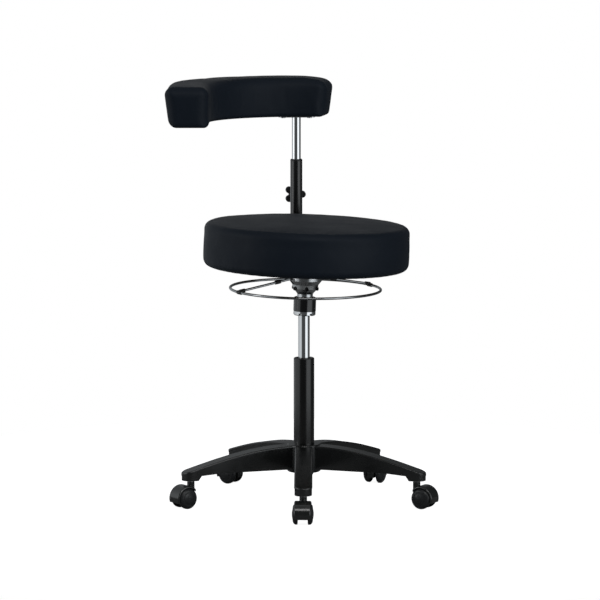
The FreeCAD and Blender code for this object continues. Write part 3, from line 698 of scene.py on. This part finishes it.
def seat_staples():
    """Wire staples that hold the vinyl's edge up against the board."""
    random = np.random.default_rng(SEED + 1)
    matrix = plane_of("seat_board")
    shape = bmesh.new()
    for i in range(STAPLES):
        angle = 2 * math.pi * (i + random.uniform(-0.2, 0.2)) / STAPLES
        skew, radius = random.uniform(-0.25, 0.25), STAPLE_R + random.uniform(-2, 2) * MM
        if abs(angle - math.radians(BAR_ANGLE)) < 0.2:
            continue
        center = Vector((radius * math.cos(angle), radius * math.sin(angle), SEAT_LOW - 1.0 * MM))
        along = Vector((-math.sin(angle + skew), math.cos(angle + skew), 0))
        half, rise = STAPLE_WIDTH / 2, Vector((0, 0, 3 * MM))
        corner = 0.8 * MM
        path = [
            center - half * along + rise, center - half * along + rise * 0.3, center - (half - corner) * along,
            center, center + (half - corner) * along, center + half * along + rise * 0.3,
            center + half * along + rise,
        ]
        wire_into(shape, [matrix @ p for p in path], STAPLE_WIRE)
    mesh = bpy.data.meshes.new("seat_staples")
    bmesh.ops.recalc_face_normals(shape, faces=shape.faces)
    shape.to_mesh(mesh)
    shape.free()
    mesh.shade_smooth()
    mesh.materials.append(MATERIALS["steel_plain"])
    piece = bpy.data.objects.new("seat_staples", mesh)
    bpy.context.scene.collection.objects.link(piece)
    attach(piece, "seat")


# Torso pad: its middle line in plan, and its section across that line (u outward, z above its low face)
PAD_MIDDLE, PAD_HALF, PAD_HEIGHT = 278.5 * MM, 54.5 * MM, 98.5 * MM
PAD_END_ANGLE = 76
PAD_TIP = 168 * MM
PAD_SWELL, PAD_CAP = 1 * MM, 6 * MM
PAD_YIELD = 0.3
PAD_TAPER = 13 * MM  # how much further in the outer side stands at its foot
PAD_RADII = [12 * MM, 22 * MM, 20 * MM, 22 * MM]  # inner foot, inner top, outer top, outer foot
END_CORNERS = {"plan": 27 * MM, "top": 24 * MM, "low": 12 * MM}
END_LEAN = [9 * MM, 8 * MM]  # how far the foot of each end stands back, far end first
END_REACH = 70 * MM
END_DROP = [11 * MM, 0]  # how much lower each end's top is, far end first
END_DROP_REACH = 85 * MM
PAD_STEP = 7 * MM
PAD_LUMP = 0.9 * MM
PAD_HELD = 3 * MM  # cloth points lower than this stay on the board
SIDE_POINTS = [16, 9, 14, 12]  # on the section's underside, inner side, top and outer side
CORNER_POINTS = 10


def pad_place(s, u, z):
    """A point by its distance along the pad's middle line from the far end, outward across it, and up."""
    arc = PAD_MIDDLE * math.radians(180 - PAD_END_ANGLE)
    if s < arc:
        angle = math.radians(PAD_END_ANGLE) + s / PAD_MIDDLE
        return ((PAD_MIDDLE + u) * math.cos(angle), (PAD_MIDDLE + u) * math.sin(angle), z)
    return (-PAD_MIDDLE - u, arc - s, z)


def pad_length():
    return PAD_MIDDLE * math.radians(180 - PAD_END_ANGLE) + PAD_TIP


def rounded_by(corner, distance):
    """How far a round corner has pulled in at a distance from the end."""
    if distance >= corner:
        return 0
    return corner - math.sqrt(corner ** 2 - (corner - distance) ** 2)


def section(distance, swell):
    """Points (u, z) round the pad's section at a distance from its nearer end."""
    side = rounded_by(END_CORNERS["plan"], distance) + swell
    top, low = rounded_by(END_CORNERS["top"], distance) + swell, rounded_by(END_CORNERS["low"], distance)
    half = PAD_HALF - side
    taper = PAD_TAPER * half / PAD_HALF
    corners = [
        Vector((-half, low)), Vector((-half, PAD_HEIGHT - top)), Vector((half, PAD_HEIGHT - top)),
        Vector((half - taper, low)),
    ]
    points = []
    for i, corner in enumerate(corners):
        before = (corners[i - 1] - corner).normalized()
        after = (corners[(i + 1) % 4] - corner).normalized()
        half_turn = before.angle(after) / 2
        radius = max(PAD_RADII[i] - side, 4 * MM)
        reach = radius / math.tan(half_turn)
        center = corner + (before + after).normalized() * radius / math.sin(half_turn)
        start, end = corner + before * reach, corner + after * reach
        for step in range(CORNER_POINTS):
            t = step / (CORNER_POINTS - 1)
            ray = (start - center).lerp(end - center, t).normalized() * radius
            points.append(center + ray)
        following = corners[(i + 1) % 4]
        next_after = (corners[(i + 2) % 4] - following).normalized()
        next_reach = max(PAD_RADII[(i + 1) % 4] - side, 4 * MM) / math.tan((-after).angle(next_after) / 2)
        stop = following - after * next_reach
        count = SIDE_POINTS[(i + 1) % 4]
        points += [end.lerp(stop, (k + 1) / (count + 1)) for k in range(count)]
    return points


def pad_rings(swell):
    """Rings of points from the far end's middle to the tip's."""
    near = [0, 1.2 * MM, 3.5 * MM, 7 * MM, 11 * MM, 16 * MM, 21 * MM, 27 * MM]
    length = pad_length() - 2 * swell
    count = round((length - 2 * near[-1]) / PAD_STEP)
    middle = [near[-1] + (length - 2 * near[-1]) * i / count for i in range(1, count)]
    rings = []
    for along in near + middle + [length - d for d in reversed(near)]:
        distance = min(along, length - along)
        end = 0 if along < length / 2 else 1
        toward = 1 if end == 0 else -1
        drop = END_DROP[end] * (1 - min(distance / END_DROP_REACH, 1)) ** 2
        ring = []
        for point in section(distance, swell):
            back = END_LEAN[end] * (1 - point.y / PAD_HEIGHT) * (1 - smooth_step(distance, 0, END_REACH))
            ring.append(pad_place(swell + along + toward * back, point.x, point.y * (1 - drop / PAD_HEIGHT)))
        rings.append(np.array(ring))
    return end_rings(rings[0]) + rings + end_rings(rings[-1])[::-1]


def end_rings(ring):
    """Smaller rings inside an end's outline, so that the end's face can swell."""
    center = ring.mean(0)
    return [center + (ring - center) * scale for scale in (0.15, 0.4, 0.62, 0.82, 0.93)]


def torso_upholstery():
    """The torso support's foam and vinyl in one closed form, held flat under its board."""
    rings = pad_rings(PAD_SWELL)
    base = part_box("pad_cover")[0][2]
    mesh = ring_mesh("torso_upholstery", rings, rings[0].mean(0), rings[-1].mean(0))
    points = read(mesh, "co")
    loose = smooth_step(points[:, 2], 1 * MM, 14 * MM)
    form = ring_mesh("torso_form", [ring[::2] for ring in rings], rings[0].mean(0), rings[-1].mean(0))
    points = follow(points, blown_up(form, lambda p: p[:, 2] < PAD_HELD, PAD_CAP), loose * PAD_YIELD)
    put(mesh, points)
    lumps = 0.7 * unevenness(points, 80 * MM, (2, 7, 1)) + 0.3 * unevenness(points, 28 * MM, (8, 2, 8))
    points += read(mesh, "normal") * (PAD_LUMP * lumps * loose)[:, None]
    points[:, 2] += base
    put(mesh, points)
    piece = upholstery("torso_upholstery", mesh, "torso_arm", ["pad_cover", "pad_foam"])
    soften = piece.modifiers.new("subdivision", "SUBSURF")
    soften.levels = soften.render_levels = 1


seat_upholstery()
seat_staples()
torso_upholstery()
